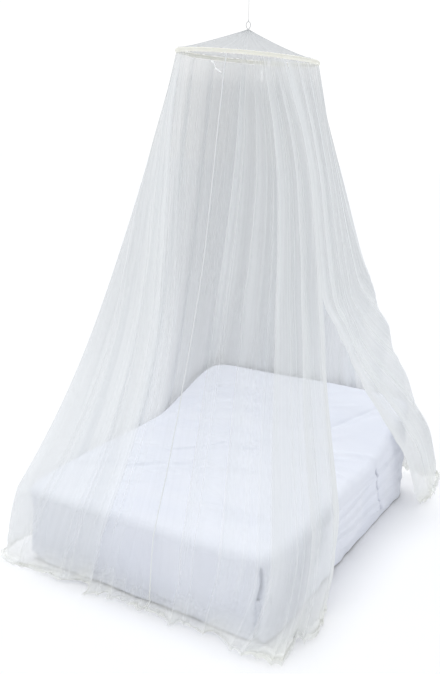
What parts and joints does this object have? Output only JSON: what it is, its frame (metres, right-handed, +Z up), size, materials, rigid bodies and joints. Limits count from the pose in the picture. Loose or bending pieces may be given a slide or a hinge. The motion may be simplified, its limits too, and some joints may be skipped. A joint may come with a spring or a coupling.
{
  "type": "mosquito net canopy over a double bed",
  "caption": "Ivory mosquito net canopy hung from a hoop on a ceiling string, draped round a white double bed, open at one side.",
  "frame": {"origin": "middle of the whole outline seen from above, on the floor that the bed stands on", "axes": "+Z up, +Y towards the head of the bed, +X towards the side where the net is open"},
  "size_m": [1.7866, 2.3346, 2.9],
  "materials": {
    "net": "sheer polyester mosquito net, ivory white",
    "casing": "cream cotton tape",
    "hoop": "plain",
    "ribbon": "white woven ribbon",
    "cover": "white cotton bed cover, soft creases",
    "mattress": "white quilted ticking",
    "base": "plain upholstered bed base",
    "leg": "black stained",
    "steel": "bright wire and plate",
    "string": "twisted cord"
  },
  "bodies": {
    "root": {"net_near": "net", "net_right": "net", "net_head": "net", "net_left": "net", "net_foot": "net", "net_top": "net", "hoop_casing": "casing", "hoop": "hoop", "tie_ribbon": "ribbon", "hanging_tab": "ribbon", "hanging_eye": "steel", "ceiling_hook": "steel", "string": "string", "bed_cover": "cover", "mattress": "mattress", "bed_base": "base", "bed_leg_1": "leg", "bed_leg_2": "leg", "bed_leg_3": "leg", "bed_leg_4": "leg"}
  },
  "joints": []
}
